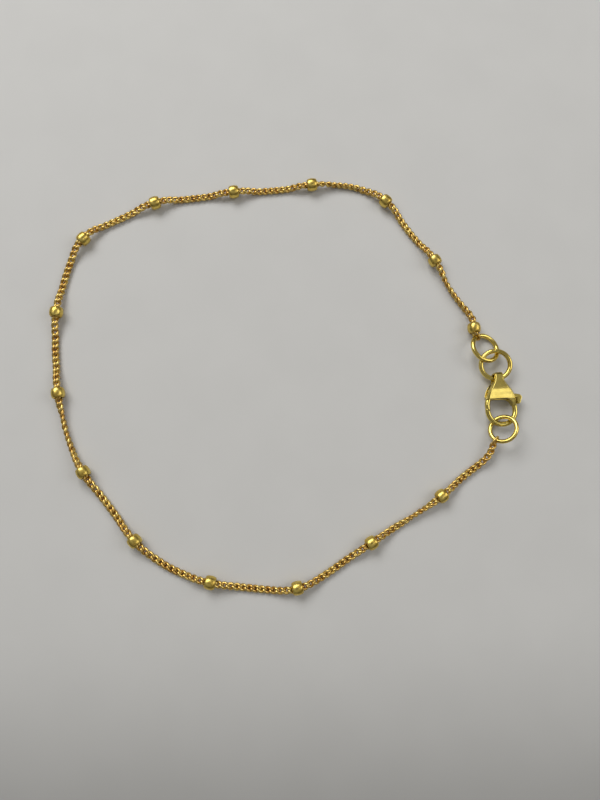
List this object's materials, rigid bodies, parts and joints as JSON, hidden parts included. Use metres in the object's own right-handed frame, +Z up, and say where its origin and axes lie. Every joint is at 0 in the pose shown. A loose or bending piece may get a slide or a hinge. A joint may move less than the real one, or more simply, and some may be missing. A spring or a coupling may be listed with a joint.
{
  "type": "chain bracelet",
  "caption": "Fine curb-chain bracelet with evenly spaced rondelle beads, jump rings and a lobster clasp, fastened and lying in a loop.",
  "frame": {"origin": "middle of the loop's bounding box, on the surface that the bracelet lies on", "axes": "+Z up from the surface; +X to the clasp's side; +Y from the hook end of the clasp towards its tail"},
  "size_m": [0.0662, 0.0594, 0.0028],
  "materials": {
    "gold_plate_polished": "bright polished yellow-gold plate",
    "gold_plate_chain": "bright yellow-gold plate on drawn wire links"
  },
  "bodies": {
    "bracelet": {"chain": "gold_plate_chain", "bead_01": "gold_plate_polished", "bead_02": "gold_plate_polished", "bead_03": "gold_plate_polished", "bead_04": "gold_plate_polished", "bead_05": "gold_plate_polished", "bead_06": "gold_plate_polished", "bead_07": "gold_plate_polished", "bead_08": "gold_plate_polished", "bead_09": "gold_plate_polished", "bead_10": "gold_plate_polished", "bead_11": "gold_plate_polished", "bead_12": "gold_plate_polished", "bead_13": "gold_plate_polished", "bead_14": "gold_plate_polished", "bead_15": "gold_plate_polished", "jump_ring_upper": "gold_plate_polished", "jump_ring_middle": "gold_plate_polished", "jump_ring_lower": "gold_plate_polished", "clasp_body": "gold_plate_polished", "clasp_pivot_pin": "gold_plate_polished"},
    "lever": {"clasp_lever": "gold_plate_polished"}
  },
  "joints": [
    {"name": "clasp_lever_hinge", "type": "hinge", "parent": "bracelet", "child": "lever", "pos_m": [0.02898, -0.00222, 0.0011], "axis": [0, 0, 1], "range_deg": [0, 22], "stiffness_Nm_per_rad": 0.004}
  ]
}
